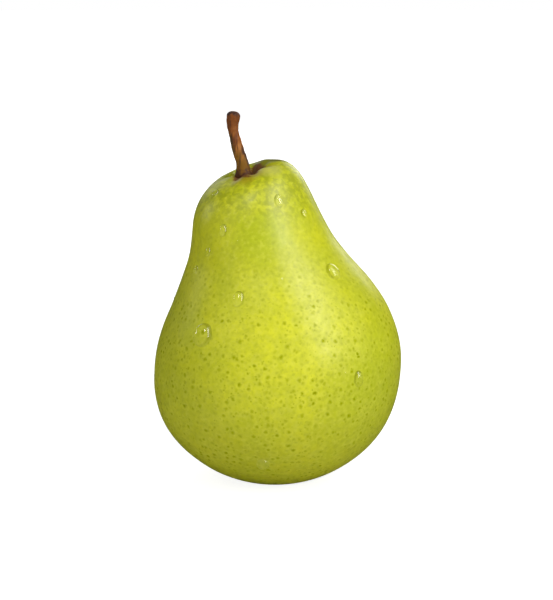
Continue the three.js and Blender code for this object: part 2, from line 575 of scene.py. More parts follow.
@dataclass(frozen=True)
class FruitForm:
    """The fruit's turned blank, and how the grown fruit departs from it, in millimetres."""

    basin_depth: float = 5.5
    basin_reach: float = 4.4
    basin_wall: tuple = (6.6, 2.6)
    rest_inner: float = 8.0
    rest_outer: float = 12.2
    rest_reach: float = 1.5
    rest_steps: int = 4
    belly_radius: float = 39.3
    belly_height: float = 33.5
    belly_reach_down: float = 25.5
    belly_reach_up: float = 7.5
    waist_radius: float = 27.2
    waist_height: float = 68.5
    waist_slope: float = 0.63
    waist_reach_down: float = 20.0
    waist_reach_up: float = 14.0
    crest_radius: float = 6.4
    crest_height: float = 99.0
    crest_reach_out: float = 12.4
    crest_reach_in: float = 2.8
    cavity_depth: float = 5.6
    cavity_reach: float = 3.8
    base_shift: float = -0.5
    belly_drift: float = 1.4
    belly_drift_span: tuple = (15.0, 55.0)
    neck_lean: float = -9.4
    neck_lean_span: tuple = (54.0, 98.0)
    crown_tilt: tuple = (0.3, 0.13)
    crown_tilt_span: tuple = (76.0, 100.0)
    cavity_shift: tuple = (-1.8, -1.6)
    cavity_shift_span: tuple = (90.0, 93.0)
    lobes: int = 3
    lobe_depth: float = 0.006
    lobe_turn: float = 1.2

    def outline(self, steps: int) -> np.ndarray:
        """Sample the blank's outline.

        Args:
            steps: Points along each of its curves.

        Returns:
            Rows of (radius, height), from the basin's floor round to the cavity's.
        """
        floor = self.crest_height - self.cavity_depth
        waist = np.array([self.waist_radius, self.waist_height])
        slope = np.array([-self.waist_slope, 1.0])
        belly = (self.belly_radius, self.belly_height)
        crest = (self.crest_radius, self.crest_height)
        rest = (self.rest_inner, 0)
        edge = (self.rest_outer, 0)
        below = (self.belly_radius, self.belly_height - self.belly_reach_down)
        above = (self.belly_radius, self.belly_height + self.belly_reach_up)
        shoulder = (self.crest_radius + self.crest_reach_out, self.crest_height)
        lip = (self.crest_radius - self.crest_reach_in, self.crest_height)
        return np.vstack([
            cubic((0, self.basin_depth), (self.basin_reach, self.basin_depth), self.basin_wall, rest, steps),
            np.linspace(rest, edge, self.rest_steps, endpoint=False),
            cubic(edge, (self.rest_outer + self.rest_reach, 0), below, belly, 2 * steps),
            cubic(belly, above, waist - self.waist_reach_down * slope, waist, steps),
            cubic(waist, waist + self.waist_reach_up * slope, shoulder, crest, 2 * steps),
            cubic(crest, lip, (self.cavity_reach, floor), (0, floor), steps),
            [(0, floor)],
        ])

    def grown(self, blank: np.ndarray) -> np.ndarray:
        """Carry points of the turned blank to the grown fruit.

        Args:
            blank: Rows of X, Y and Z.

        Returns:
            The same points where the fruit has them.
        """
        x, y, z = blank.T
        radius = np.hypot(x, y)
        girth = np.sin(np.pi * np.minimum(z / self.crest_height, 1.0))
        swell = 1 + self.lobe_depth * girth * np.cos(self.lobes * np.arctan2(y, x) + self.lobe_turn)
        inside = ease(z, *self.cavity_shift_span) * (1 - ease(radius, 0, self.crest_radius))
        x = x * swell + self.cavity_shift[0] * inside
        y = y * swell + self.cavity_shift[1] * inside
        tilt = (x * self.crown_tilt[0] + y * self.crown_tilt[1]) * ease(z, *self.crown_tilt_span)
        drift = self.belly_drift * ease(z, *self.belly_drift_span)
        lean = self.neck_lean * ease(z, *self.neck_lean_span)
        return np.column_stack([x + self.base_shift + drift + lean, y, z + tilt])


@dataclass(frozen=True)
class RipenessAndShading:
    """A patch of the fruit in another tone, partly its own ripeness and partly painted light and shade, as
    each patch in SkinFinish.sides is marked: near its middle fully, and not at all far off.
    """

    colour: Colour
    middle: Point
    near: float
    far: float


@dataclass(frozen=True)
class SkinFinish:
    """Satin yellow-green skin with sunken green dots, and russet at the stem and the calyx.

    Places and distances are in millimetres, and waves are the number to a millimetre. Patches are
    given as their width and their contrast.
    """

    yellow: Colour = (0.64, 0.65, 0.012, 1)
    green: Colour = (0.50, 0.54, 0.005, 1)
    olive: Colour = (0.47, 0.455, 0.004, 1)
    deep: Colour = (0.26, 0.30, 0.001, 1)
    # painted shade, laid on the far wall of the stem's hollow
    shade: Colour = (0.17, 0.17, 0.002, 1)
    pale: Colour = (0.72, 0.72, 0.08, 1)
    dot: Colour = (0.235, 0.28, 0.0, 1)
    # painted highlight: the pale band along the front lip of the stem's hollow
    highlight_cream: Colour = (0.62, 0.62, 0.12, 1)
    tan: Colour = (0.33, 0.235, 0.006, 1)
    russet: Colour = (0.15, 0.055, 0.001, 1)
    sides: tuple[RipenessAndShading, ...] = (
        # brighter yellow on the front of the belly: partly the skin's own ripeness, partly painted light
        RipenessAndShading((0.73, 0.73, 0.018, 1), (2.0, -38.0, 50.0), 10.0, 36.0),
        # greener and darker on the right of the belly: partly the skin's own green, partly painted shade
        RipenessAndShading((0.42, 0.48, 0.001, 1), (34.0, -22.0, 28.0), 8.0, 34.0),
        # greener and darker on the left front of the neck: partly the skin's own green, partly painted shade
        RipenessAndShading((0.45, 0.52, 0.003, 1), (-4.0, -22.0, 82.0), 4.0, 12.0),
    )
    side_edge: float = 16.0
    side_waves: float = 0.16
    side_share: float = 0.85
    wide_patches: tuple = (24.0, 3.0)
    small_patches: tuple = (4.5, 2.5)
    small_share: float = 0.5
    mottling: tuple = (1.8, 4.0)
    # olive and darker towards the bottom: partly the skin's own olive, partly painted shade of the underside
    olive_shade_height: Ramp = (42.0, 2.0, 0.0, 0.6)
    mottled_height: Ramp = (82.0, 92.0, 0.14, 0.6)
    speckle_waves: float = 0.75
    dark_speckles: Ramp = (0.5, 0.28, 0.0, 0.24)
    pale_speckles: Ramp = (0.5, 0.72, 0.0, 0.32)
    dot_spacing: float = 2.05
    dot_reach: tuple = (0.02, 0.48)
    dot_strength: tuple = (0.3, 0.85)
    fleck_spacing: float = 1.35
    fleck_reach: tuple = (0.05, 0.34)
    fleck_strength: tuple = (0.15, 0.6)
    smallest_dot: float = 0.75
    dot_variety: float = 0.4
    dot_waves: float = 0.9
    dot_bend: float = 0.9
    dotted_height: Ramp = (82.0, 50.0, 0.2, 1.0)
    dotted_waves: float = 0.09
    dotted_least: float = 0.5
    dotted_variety: float = 0.9
    dot_gloss: Ramp = (0.0, 0.7, 0.48, 0.0)
    ring_width: float = 1.9
    ring_share: float = 0.3
    stem_foot: Point = (-9.8, -3.4, 97.4)
    stem_russet: Ramp = (6.9, 5.2)
    stem_halo: Ramp = (11.0, 7.0, 0.0, 0.75)
    halo_front: Ramp = (-0.5, -2.5)
    left_limit: Ramp = (-14.4, -12.6, 0.1, 1.0)
    rays: int = 7
    ray_wander: float = 5.0
    ray_depth: float = 0.6
    fray_waves: float = 0.9
    fraying: float = 3.0
    lip: Point = (-1.8, -6.6, 99.8)
    lip_highlight_reach: Ramp = (6.5, 3.0, 0.0, 0.6)
    # the crevice beside the stem, where the dark russet is partly real russet and partly painted shade of the
    # recess
    crevice: Point = (-6.6, 1.2, 97.6)
    crevice_further: float = 0.4
    crevice_blend: float = 1.5
    # the far wall of the stem's hollow, where painted shade darkens the skin
    far_wall: Point = (-2.6, 4.6, 100.3)
    wall_shade_reach: Ramp = (7.2, 3.8, 0.0, 0.9)
    basin_russet: Ramp = (10.5, 7.0, 0.0, 0.85)
    basin_height: Ramp = (12.0, 6.0)
    glow: float = 0.12
    glow_radii: Point = (1.0, 0.9, 0.25)
    glow_depth: float = 2.0
    grain_waves: float = 1.1
    roughness: float = 0.23
    rougher_grain: float = 0.2
    rougher_dots: float = 0.15
    rougher_patches: float = 0.1
    rougher_russet: float = 0.3
    relief_strength: float = 0.35
    relief_depth: float = 0.15
    sunken_dots: float = -0.5
    raised_grain: float = 0.35
    raised_russet: float = 0.6

    def material(self) -> Material:
        """Build the material.

        Returns:
            The finished material.
        """
        paint = Paint("pear_skin", {
            "Subsurface Weight": self.glow,
            "Subsurface Radius": self.glow_radii,
            "Subsurface Scale": self.glow_depth * MM,
            "Specular IOR Level": self.dot_gloss[2],
        })
        small = paint.patches(*self.small_patches)
        dots, rings, depth = self.dots(paint)
        lip_highlight, halo, russet = self.russet_masks(paint)
        colour = self.plain_colour(paint, small)
        layers = (
            (paint.times(rings, self.ring_share), self.pale),
            (dots, self.dot),
            (halo, self.tan),
            # painted highlight along the front lip of the hollow
            (lip_highlight, self.highlight_cream),
            (russet, self.russet),
        )
        paint.give("Base Color", paint.layered(colour, layers))
        grain = paint.cloud(self.grain_waves)
        rough = paint.times_plus(grain, self.rougher_grain, self.roughness)
        rough = paint.times_plus(dots, self.rougher_dots, rough)
        rough = paint.times_plus(small, self.rougher_patches, rough)
        paint.give("Roughness", paint.times_plus(russet, self.rougher_russet, rough))
        relief = paint.times_plus(depth, self.sunken_dots, paint.times(grain, self.raised_grain))
        relief = paint.times_plus(russet, self.raised_russet, relief)
        paint.bump(self.relief_strength, self.relief_depth, relief)
        paint.give("Specular IOR Level", paint.step(dots, *self.dot_gloss))
        return paint.material

    def plain_colour(self, paint: Paint, small: Socket) -> Socket:
        """The colour of the skin before dots and russet: yellow, green, speckled and mottled, with patches
        that are partly painted light and shade, olive and darker towards the bottom (partly the skin's own
        olive, partly painted shade of the underside), and painted shade on the hollow's far wall.

        Args:
            paint: The material's graph.
            small: The mask of the small patches.

        Returns:
            The colour's socket.
        """
        colour = paint.mix(paint.patches(*self.wide_patches), self.green, self.yellow)
        # patches of another tone: partly the skin's own ripeness, partly painted light and shade
        colour = paint.layered(colour, tuple((self.side(paint, r), r.colour) for r in self.sides))
        speckled = paint.cloud(self.speckle_waves, detail=3.0)
        mottled = paint.patches(*self.mottling)
        at_crown = paint.times(paint.step(paint.height, *self.mottled_height), mottled)
        to_shaded_wall = paint.distance(self.far_wall)
        layers = (
            # olive and darker towards the bottom: partly own tone, partly painted shade of the underside
            (paint.step(paint.height, *self.olive_shade_height), self.olive),
            (paint.times(small, self.small_share), self.green),
            (paint.step(speckled, *self.dark_speckles), self.deep),
            (paint.step(speckled, *self.pale_speckles), self.pale),
            (at_crown, self.deep),
            # painted shade on the far wall of the stem's hollow
            (paint.step(to_shaded_wall, *self.wall_shade_reach), self.shade),
        )
        return paint.layered(colour, layers)

    def side(self, paint: Paint, toned: RipenessAndShading) -> Socket:
        """Where one patch of the fruit has another tone, partly its own ripeness and partly painted light and
        shade.

        Args:
            paint: The material's graph.
            toned: That patch.

        Returns:
            The mask of that side, with a ragged edge.
        """
        away = paint.distance(toned.middle)
        ragged = paint.times_plus(paint.cloud(self.side_waves, detail=4.0), self.side_edge, away)
        mean = self.side_edge / 2
        return paint.step(ragged, toned.far + mean, toned.near + mean, 0.0, self.side_share)

    def dots(self, paint: Paint) -> tuple:
        """Breathing pores: round soft dots of many sizes, thick on the belly and sparse on the neck.

        Args:
            paint: The material's graph.

        Returns:
            The mask of the dots' colour, the mask of the pale skin round them, and that of their depth.
        """
        waves = {"Vector": paint.place, "Scale": self.dot_waves, "Detail": 1.0}
        wobble = paint.add("ShaderNodeTexNoise", waves).outputs["Color"]
        bent = paint.vector("MULTIPLY_ADD", wobble, (self.dot_bend,) * 3, paint.place)
        dot, halo = self.layer(paint, bent, self.dot_spacing, self.dot_reach, self.dot_strength)
        small, _ = self.layer(paint, bent, self.fleck_spacing, self.fleck_reach, self.fleck_strength)
        cloud = paint.cloud(self.dotted_waves, detail=1.0)
        patchy = paint.times_plus(cloud, self.dotted_variety, self.dotted_least)
        thick = paint.times(paint.step(paint.height, *self.dotted_height), patchy)
        both = paint.maths("MAXIMUM", dot, small)
        return paint.times(both, thick), paint.times(halo, thick), dot

    def layer(self, paint: Paint, place: Socket, spacing: float, reach: tuple, strength: tuple) -> tuple:
        """One size of dot.

        Args:
            paint: The material's graph.
            place: Coordinates in millimetres, slightly bent so that no dot is quite round.
            spacing: The mean distance between neighbours, in millimetres.
            reach: Where a dot starts to fade and where it ends, in spacings.
            strength: The faintest and the darkest dot.

        Returns:
            The mask of the dots, and the mask of the pale skin round them.
        """
        cells = paint.add("ShaderNodeTexVoronoi", {"Vector": place, "Scale": 1 / spacing})
        chance = paint.split(cells.outputs["Color"])
        size = paint.times_plus(chance[0], self.dot_variety, self.smallest_dot)
        away = paint.maths("DIVIDE", cells.outputs["Distance"], size)
        dark = paint.step(chance[1], 0.0, 1.0, *strength)
        dot = paint.times(paint.step(away, reach[1], reach[0]), dark)
        ring = paint.times(paint.step(away, self.ring_width * reach[1], reach[1]), dark)
        return dot, paint.maths("SUBTRACT", ring, dot)

    def russet_masks(self, paint: Paint) -> tuple:
        """Brown corky skin round the stem's foot and in the basin, reaching into the crevice beside the stem
        where it is partly painted shade, and a painted highlight on the front lip of the hollow.

        Args:
            paint: The material's graph.

        Returns:
            The mask of the painted highlight on the hollow's front lip, that of the tan halo, and that of the
            russet.
        """
        ragged = paint.cloud(self.fray_waves, detail=3.0)
        away = paint.apart(self.stem_foot)
        x, y, _ = paint.split(away)
        bearing = paint.maths("ARCTAN2", y, x)
        wander = paint.times(ragged, self.ray_wander)
        rays = paint.maths("SINE", paint.times_plus(bearing, float(self.rays), wander))
        to_foot = paint.length(away)
        # russet pulled into the crevice beside the stem: partly real russet, partly painted shade of the
        # recess
        to_shaded_crevice = paint.maths("ADD", paint.distance(self.crevice), self.crevice_further)
        distance = paint.maths("SMOOTH_MIN", to_foot, to_shaded_crevice, self.crevice_blend)
        frayed = paint.times_plus(rays, self.ray_depth, paint.times_plus(ragged, self.fraying, distance))
        px, py, pz = paint.split(paint.place)
        inside = paint.step(px, *self.left_limit)
        at_stem = paint.times(paint.step(frayed, *self.stem_russet), inside)
        halo = paint.times(paint.step(frayed, *self.stem_halo), inside, paint.step(py, *self.halo_front))
        # painted highlight: a pale band along the front lip of the stem's hollow
        to_lip = paint.distance(self.lip)
        lip_highlight = paint.step(paint.times_plus(ragged, self.fraying, to_lip), *self.lip_highlight_reach)
        spread = paint.times_plus(ragged, self.fraying, paint.length(paint.joined(px, py)))
        low = paint.step(pz, *self.basin_height)
        at_calyx = paint.times(paint.step(spread, *self.basin_russet), low)
        return lip_highlight, halo, paint.maths("MAXIMUM", at_stem, at_calyx)


@dataclass
class Fruit:
    """Skin and flesh: one solid, finely meshed, with the small unevenness of a grown fruit."""

    form: FruitForm = FruitForm()
    sides: int = 256
    curve_steps: int = 20
    swell_size: float = 21.0
    swell_height: float = 0.28
    dimple_size: float = 7.0
    dimple_height: float = 0.06
    calm_foot: tuple = (0.4, 6.0)
    crown_puckers: int = 7
    crown_pucker_height: float = 0.35
    crown_heights: tuple = (92.0, 97.0)
    crown_inside: tuple = (1.0, 3.0)
    crown_outside: tuple = (12.0, 6.0)
    fold_size: float = 6.0
    fold_wander: float = 1.5
    basin_puckers: int = 11
    basin_pucker_height: float = 0.3
    basin_rim: tuple = (8.0, 0.5)
    basin_foot: tuple = (0.0, 1.5)
    basin_outside: tuple = (9.0, 6.0)
    basin_inside: tuple = (1.0, 4.0)

    def build(self, finish: Material) -> Piece:
        """Make the skin, with a map of its own that has one seam up the back, and dress it.

        Args:
            finish: The skin's material.

        Returns:
            The finished skin.
        """
        outline = self.form.outline(self.curve_steps)
        turn = 2 * np.pi * (np.arange(self.sides) + 0.5) / self.sides + np.pi / 2
        rings = outline[1:-1]
        x = rings[:, :1] * np.cos(turn)
        y = rings[:, :1] * np.sin(turn)
        z = np.repeat(rings[:, 1:], self.sides, axis=1)
        blank = np.column_stack([x.ravel(), y.ravel(), z.ravel()])
        blank = np.vstack([[0, 0, outline[0][1]], blank, [0, 0, outline[-1][1]]])
        skin = new_piece("pear_skin", self.form.grown(blank), wrapped_faces(len(rings), self.sides))
        self.map_skin(skin, outline)
        push_out(skin, self.relief(blank))
        hand_over(skin, ["fruit"], finish)
        return skin

    def map_skin(self, skin: Piece, outline: np.ndarray) -> None:
        """Lay the skin out flat: bearing across, and distance along the outline up.

        Args:
            skin: The piece to map.
            outline: The outline that its rings follow.
        """
        along = travelled(outline)
        along /= along[-1]
        last = len(skin.data.vertices) - 1
        layer = skin.data.uv_layers.new(name="OFBake")
        for face in skin.data.polygons:
            corners = [skin.data.loops[i].vertex_index for i in face.loop_indices]
            columns = [(v - 1) % self.sides for v in corners if v not in (0, last)]
            seam = max(columns) - min(columns) > 1
            middle = sum(c + self.sides * (seam and c == 0) for c in columns) / len(columns)
            for i, v in zip(face.loop_indices, corners):
                if v in (0, last):
                    layer.data[i].uv = ((middle + 0.5) / (self.sides + 1), float(v == last))
                    continue
                column = (v - 1) % self.sides
                column += self.sides * (seam and column == 0)
                layer.data[i].uv = ((column + 0.5) / (self.sides + 1), along[(v - 1) // self.sides + 1])

    def relief(self, blank: np.ndarray) -> np.ndarray:
        """How far each point stands off the ideal form.

        Args:
            blank: The points on the turned blank.

        Returns:
            Distances in millimetres. They fade out on the flat ring that the fruit rests on.
        """
        height = blank[:, 2]
        radius = np.hypot(blank[:, 0], blank[:, 1])
        bearing = np.arctan2(blank[:, 1], blank[:, 0])
        waves = self.swell_height * ripple(blank, self.swell_size, seed=1.3)
        waves += self.dimple_height * ripple(blank, self.dimple_size, seed=5.1)
        at_crown = ease(height, *self.crown_heights)
        at_crown *= ease(radius, *self.crown_inside) * ease(radius, *self.crown_outside)
        wander = self.fold_wander * ripple(blank, self.fold_size, seed=2.2)
        folds = self.crown_pucker_height * np.cos(self.crown_puckers * bearing + wander)
        at_basin = ease(height, *self.basin_rim) * ease(height, *self.basin_foot)
        at_basin *= ease(radius, *self.basin_outside) * ease(radius, *self.basin_inside)
        tucks = self.basin_pucker_height * np.cos(self.basin_puckers * bearing)
        return waves * ease(height, *self.calm_foot) + folds * at_crown + tucks * at_basin


# ---- stem


@dataclass(frozen=True)
class BarkFinish:
    """Reddish-brown stem bark: a dark foot and tip, a tan streak between, and painted shade on its sides:
    dark olive on the left-facing side and dark brown on the right-facing side.

    Heights are in millimetres. Streaks are given as their width and how many times longer they are.
    """

    foot: Colour = (0.075, 0.022, 0.001, 1)
    low: Colour = (0.21, 0.092, 0.003, 1)
    tan: Colour = (0.42, 0.16, 0.028, 1)
    olive: Colour = (0.12, 0.085, 0.018, 1)
    high: Colour = (0.21, 0.058, 0.006, 1)
    tip: Colour = (0.05, 0.02, 0.013, 1)
    streaks: tuple = (0.9, 7.0)
    cork: tuple = (1.6, 3.0)
    cork_wander: float = 2.0
    low_from: Ramp = (99.4, 101.4)
    high_from: Ramp = (103.0, 110.0)
    tan_from: Ramp = (103.0, 106.0)
    tan_until: Ramp = (115.0, 109.0)
    tan_share: float = 0.75
    tip_from: Ramp = (116.8, 118.4)
    left_shade_facing: Ramp = (-0.35, -0.8)
    left_shade_from: Ramp = (103.0, 105.0)
    left_shade_until: Ramp = (112.0, 109.0)
    left_shade_share: float = 0.8
    right_shade_facing: Ramp = (0.45, 0.8)
    right_shade_from: Ramp = (100.0, 101.5)
    right_shade_until: Ramp = (108.0, 105.0)
    right_shade_share: float = 0.85
    dark_streaks: Ramp = (0.48, 0.3, 0.0, 0.65)
    gloss: float = 0.3
    roughness: float = 0.5
    rougher_cork: float = 0.25
    raised_cork: float = 0.4
    relief_strength: float = 0.7
    relief_depth: float = 0.25

    def material(self) -> Material:
        """Build the material.

        Returns:
            The finished material.
        """
        paint = Paint("stem_bark", {"Specular IOR Level": self.gloss})
        streak, thread = paint.streaks(*self.streaks)
        cork = paint.patches(*self.cork)
        uneven = paint.times_plus(cork, self.cork_wander, paint.height)
        # painted shade by the way the bark faces: dark olive on the left-facing side, dark brown on the
        # right-facing side
        facing = paint.split(paint.add("ShaderNodeTexCoord").outputs["Normal"])[0]
        left = paint.band(paint.height, self.left_shade_from, self.left_shade_until)
        left = paint.times(paint.step(facing, *self.left_shade_facing), left)
        right = paint.band(paint.height, self.right_shade_from, self.right_shade_until)
        right = paint.times(paint.step(facing, *self.right_shade_facing), right)
        middle = paint.times(streak, paint.band(uneven, self.tan_from, self.tan_until))
        layers = (
            (paint.step(uneven, *self.low_from), self.low),
            (paint.step(uneven, *self.high_from), self.high),
            (paint.times(middle, self.tan_share), self.tan),
            (paint.step(uneven, *self.tip_from), self.tip),
            # painted shade on the left-facing and the right-facing sides
            (paint.times(left, self.left_shade_share), self.olive),
            (paint.times(right, self.right_shade_share), self.tip),
            (paint.step(thread, *self.dark_streaks), self.tip),
        )
        paint.give("Base Color", paint.layered(self.foot, layers))
        paint.give("Roughness", paint.times_plus(cork, self.rougher_cork, self.roughness))
        relief = paint.times_plus(cork, self.raised_cork, thread)
        paint.bump(self.relief_strength, self.relief_depth, relief)
        return paint.material


@dataclass
class Stem:
    """The woody stalk: bent, ridged, flared at its foot and swollen at its scarred tip."""

    route: tuple[Point, ...] = (
        (-10.0, -1.9, 88.5),
        (-10.2, -2.0, 97.5),
        (-10.7, -2.0, 101.5),
        (-11.8, -1.9, 105.1),
        (-13.0, -1.7, 109.6),
        (-13.6, -1.4, 113.2),
        (-13.3, -1.3, 116.1),
    )
    radii: tuple[float, ...] = (
        2.2, 2.3, 2.4, 2.5, 2.65, 2.85, 2.25, 2.05, 1.92, 1.88, 1.86, 1.76, 1.66, 1.64, 1.76, 1.96, 2.1,
    )
    tip_rise: float = 1.35
    tip_steps: int = 9
    sides: int = 72
    steps: int = 150
    ridge_height: float = 0.11
    ridge_size: float = 1.1
    ridge_squeeze: Point = (1.0, 1.0, 0.16)
    knot_height: float = 0.1
    knot_size: float = 1.5
    scar_height: tuple = (117.6, 116.6)
    scar_share: float = 0.6

    def build(self, finish: Material) -> None:
        """Make the stem, closed at both ends, and dress it.

        Args:
            finish: The bark's material.
        """
        line = through(self.route, self.steps)
        radii = evenly(self.radii, self.steps)
        ahead = np.gradient(line, axis=0)
        ahead /= np.linalg.norm(ahead, axis=1)[:, None]
        side = np.cross(ahead, (0.0, 1.0, 0.0))
        side /= np.linalg.norm(side, axis=1)[:, None]
        front = np.cross(ahead, side)
        turn = turns(self.sides)
        rings = []
        for middle, reach, across, forward in zip(line, radii, side, front):
            rings.append(middle + reach * (np.outer(np.cos(turn), across) + np.outer(np.sin(turn), forward)))
        rim = rings[-1] - line[-1]
        for angle in np.linspace(0, np.pi / 2, self.tip_steps + 1)[1:-1]:
            rings.append(line[-1] + math.cos(angle) * rim + self.tip_rise * math.sin(angle) * ahead[-1])
        top = line[-1] + self.tip_rise * ahead[-1]
        points = np.vstack([line[0], *rings, top])
        stem = new_piece("pear_stem", points, wrapped_faces(len(rings), self.sides))
        push_out(stem, self.relief(points))
        hand_over(stem, ["stem"], finish)

    def relief(self, points: np.ndarray) -> np.ndarray:
        """Ridges along the stem and small corky knots.

        Args:
            points: The smooth stem's points.

        Returns:
            Distances in millimetres.
        """
        ridges = self.ridge_height * ripple(points * self.ridge_squeeze, self.ridge_size, seed=3.7)
        knots = self.knot_height * ripple(points, self.knot_size, seed=8.3)
        scar = self.scar_share + (1 - self.scar_share) * ease(points[:, 2], *self.scar_height)
        return (ridges + knots) * scar


# ---- calyx


@dataclass(frozen=True)
class DriedFinish:
    """Dried brown leaf with paler fibres."""

    dark: Colour = (0.045, 0.022, 0.010, 1)
    pale: Colour = (0.19, 0.11, 0.05, 1)
    streaks: tuple = (0.35, 3.0)
    patches: tuple = (1.5, 4.0)
    roughness: float = 0.9
    smoother_patches: float = -0.15
    relief_strength: float = 0.8
    relief_depth: float = 0.15

    def material(self) -> Material:
        """Build the material.

        Returns:
            The finished material.
        """
        paint = Paint("dried_calyx", {})
        streak, thread = paint.streaks(*self.streaks)
        patches = paint.patches(*self.patches)
        share = paint.times(streak, patches)
        paint.give("Base Color", paint.mix(share, self.dark, self.pale))
        paint.give("Roughness", paint.times_plus(patches, self.smoother_patches, self.roughness))
        paint.bump(self.relief_strength, self.relief_depth, thread)
        return paint.material


@dataclass
class Calyx:
    """The flower's dried remains in the basin: a ring, five curled sepals and a tuft of stamens."""

    middle: float = -0.5
    ring_inner: float = 1.3
    ring_outer: float = 2.7
    ring_top: float = 5.2
    ring_rim: float = 2.9
    ring_sides: int = 96
    ring_steps: int = 28
    ring_folds: int = 10
    ring_fold_depth: float = 0.12
    ring_creases: int = 23
    ring_crease_depth: float = 0.05
    ring_waves: int = 5
    ring_wave_height: float = 0.1
    sepals: int = 5
    sepal_length: float = 4.3
    sepal_width: float = 3.4
    sepal_thickness: float = 0.4
    sepal_root: float = 2.7
    sepal_height: float = 3.8
    sepal_droop: float = 2.6
    sepal_rows: int = 26
    sepal_columns: int = 15
    sepal_curl: float = 0.8
    sepal_twist: float = 0.25
    sepal_crease: float = 0.12
    sepal_taper: float = 0.9
    sepal_taper_power: float = 1.5
    sepal_shortening: float = 0.15
    sepal_droop_power: float = 1.3
    sepal_wave: float = 0.06
    sepal_waves: float = 9.0
    stamens: int = 17
    stamen_length: float = 2.2
    stamen_radius: float = 0.09
    stamen_spread: float = 0.8
    stamen_seed: int = 3

    def build(self, finish: Material) -> None:
        """Make the ring, the sepals and the stamens, and dress them.

        Args:
            finish: The dried leaf's material.
        """
        hand_over(self.ring(), ["calyx_cup"], finish)
        for number in range(1, self.sepals + 1):
            hand_over(self.sepal(number), [f"sepal_{number}"], finish)
        tuft = grow("dried_stamens", make_stamens(), {
            "Centre": (self.middle * MM, 0, self.ring_top * MM),
            "Spread": self.ring_inner * MM * self.stamen_spread,
            "Count": self.stamens,
            "Length": self.stamen_length * MM,
            "Radius": self.stamen_radius * MM,
            "Seed": self.stamen_seed,
            "Finish": finish,
        })
        hand_over(tuft, [], finish)

    def ring(self) -> Piece:
        """Make the puckered ring that the sepals grow from.

        Returns:
            The ring, a closed hoop.
        """
        wall = (self.ring_outer - self.ring_inner) / 2
        centre = (self.ring_outer + self.ring_inner) / 2
        tall = (self.ring_top - self.ring_rim) / 2
        level = (self.ring_top + self.ring_rim) / 2
        sides, steps = self.ring_sides, self.ring_steps
        section = turns(steps)
        points = []
        for bearing in turns(sides):
            folds = self.ring_fold_depth * math.cos(self.ring_folds * bearing)
            creases = self.ring_crease_depth * math.cos(self.ring_creases * bearing)
            radius = centre + wall * (1 + folds + creases) * np.cos(section)
            wave = 1 + self.ring_wave_height * math.cos(self.ring_waves * bearing)
            x = self.middle + radius * math.cos(bearing)
            y = radius * math.sin(bearing)
            points.append(np.column_stack([x, y, level + tall * wave * np.sin(section)]))
        faces = []
        for k in range(sides):
            for j in range(steps):
                a, b = k * steps, (k + 1) % sides * steps
                faces.append((a + j, b + j, b + (j + 1) % steps, a + (j + 1) % steps))
        return new_piece("calyx_ring", np.vstack(points), faces)

    def sepal(self, number: int) -> Piece:
        """Make one dried sepal, a little different from its neighbours.

        Args:
            number: Which of them, from 1.

        Returns:
            The sepal, arched out over the basin with its edges curled.
        """
        rows, columns = self.sepal_rows, self.sepal_columns
        along = np.linspace(0, 1, rows)[:, None] * np.ones(columns)
        across = np.linspace(-1, 1, columns) * np.ones((rows, 1))
        twist = self.sepal_twist * math.sin(2.4 * number)
        wave = 1 + self.sepal_wave * np.cos(self.sepal_waves * along + number)
        wide = self.sepal_width / 2 * (1 - self.sepal_taper * along**self.sepal_taper_power) * wave
        out = self.sepal_root + self.sepal_length * along * (1 - self.sepal_shortening * along)
        curl = self.sepal_curl * across**2 * (1 - 0.5 * along) + twist * across * along
        crease = self.sepal_crease * np.cos(self.sepal_waves * across) * (1 - along)
        droop = self.sepal_droop * along ** (self.sepal_droop_power + 0.1 * math.sin(number))
        height = self.sepal_height - droop - curl + crease
        sheet = np.stack([out, across * wide, height], axis=-1).reshape(-1, 3)
        points = np.vstack([sheet, sheet + (0, 0, self.sepal_thickness)])
        bearing = 2 * np.pi * (number - 1) / self.sepals
        ahead = (math.cos(bearing), math.sin(bearing), 0)
        aside = (-math.sin(bearing), math.cos(bearing), 0)
        points = points @ np.array([ahead, aside, (0, 0, 1)]) + (self.middle, 0, 0)
        return new_piece(f"dried_sepal_{number}", points, self.leaf_faces(rows, columns))

    @staticmethod
    def leaf_faces(rows: int, columns: int) -> list[tuple[int, ...]]:
        """Faces of a thin closed leaf made of a lower and an upper sheet.

        Args:
            rows: Points along it.
            columns: Points across it.

        Returns:
            The faces of both sheets and of the edge between them.
        """
        count = rows * columns
        faces = []
        for r in range(rows - 1):
            for c in range(columns - 1):
                a = r * columns + c
                faces.append((a, a + 1, a + columns + 1, a + columns))
                b = a + count
                faces.append((b, b + columns, b + columns + 1, b + 1))
        edge = list(range(columns))
        edge += [r * columns + columns - 1 for r in range(1, rows)]
        edge += [(rows - 1) * columns + c for c in range(columns - 2, -1, -1)]
        edge += [r * columns for r in range(rows - 2, 0, -1)]
        for a, b in zip(edge, edge[1:] + edge[:1]):
            faces.append((b, a, a + count, b + count))
        return faces


# ---- growths made by geometry nodes


def new_growth(name: str, inputs: dict[Kind, str]) -> tuple[Graph, Node]:
    """Start a geometry tree with named inputs. Every tree also takes a Finish, its material.

    Args:
        name: The tree's name.
        inputs: What it takes, as open_sockets reads it.

    Returns:
        The tree's graph and its input node.
    """
    tree = bpy.data.node_groups.new(name, "GeometryNodeTree")
    open_sockets(tree, "INPUT", {**inputs, Kind.MATERIAL: "Finish"})
    open_sockets(tree, "OUTPUT", {Kind.GEOMETRY: "Geometry"})
    graph = Graph(tree)
    return graph, graph.add("NodeGroupInput")


